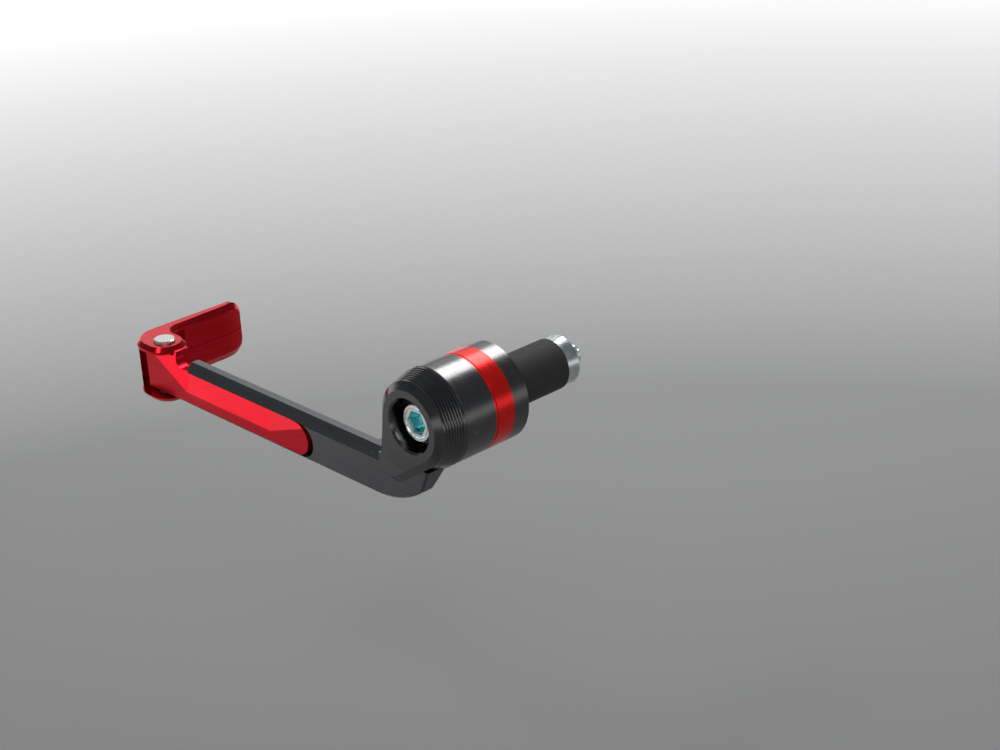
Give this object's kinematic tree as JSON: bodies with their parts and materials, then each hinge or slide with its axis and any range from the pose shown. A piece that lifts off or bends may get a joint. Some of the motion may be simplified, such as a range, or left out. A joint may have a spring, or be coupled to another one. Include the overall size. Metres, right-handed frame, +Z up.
{
  "type": "clutch lever guard",
  "caption": "Motorcycle lever guard: black billet arm bolted to a bar-end weight, with a sliding red extension and a folding red tip that shields the lever's end.",
  "frame": {"origin": "on the handlebar axis, in the plane where the inner collar meets the handlebar's end", "axes": "+X inboard along the handlebar, +Y forward along the arm, +Z up"},
  "size_m": [0.0729, 0.166, 0.0498],
  "materials": {
    "black_anodised": "milled and black anodised, satin",
    "red_anodised": "milled and red anodised, fine cutter lines",
    "black_turned": "turned and black anodised, glossy",
    "red_turned": "turned and red anodised, glossy",
    "steel": "turned stainless steel",
    "spring_steel": "blackened steel",
    "zinc_steel": "blue zinc plated",
    "plastic": "moulded, matt",
    "rubber": "moulded, matt"
  },
  "bodies": {
    "arm": {"guard_arm": "black_anodised", "end_sleeve": "black_turned", "accent_ring": "red_turned", "inner_collar": "black_turned", "bar_bolt": "zinc_steel", "bolt_washer": "zinc_steel", "expander_sleeve": "rubber", "expander_nut": "zinc_steel"},
    "extension": {"extension_slider": "red_anodised", "clamp_screws": "spring_steel", "clamp_washers": "steel", "thrust_washers": "plastic"},
    "tip": {"folding_tip": "red_anodised", "pivot_pin": "steel", "pin_clip": "spring_steel"}
  },
  "joints": [
    {"name": "extension_slide", "type": "slide", "parent": "arm", "child": "extension", "axis": [0, 1, 0], "range_m": [-0.002, 0.014]},
    {"name": "tip_fold", "type": "hinge", "parent": "extension", "child": "tip", "pos_m": [-0.02975, 0.1361, -0.0222], "axis": [0, 0, 1], "range_deg": [0, 90]}
  ]
}
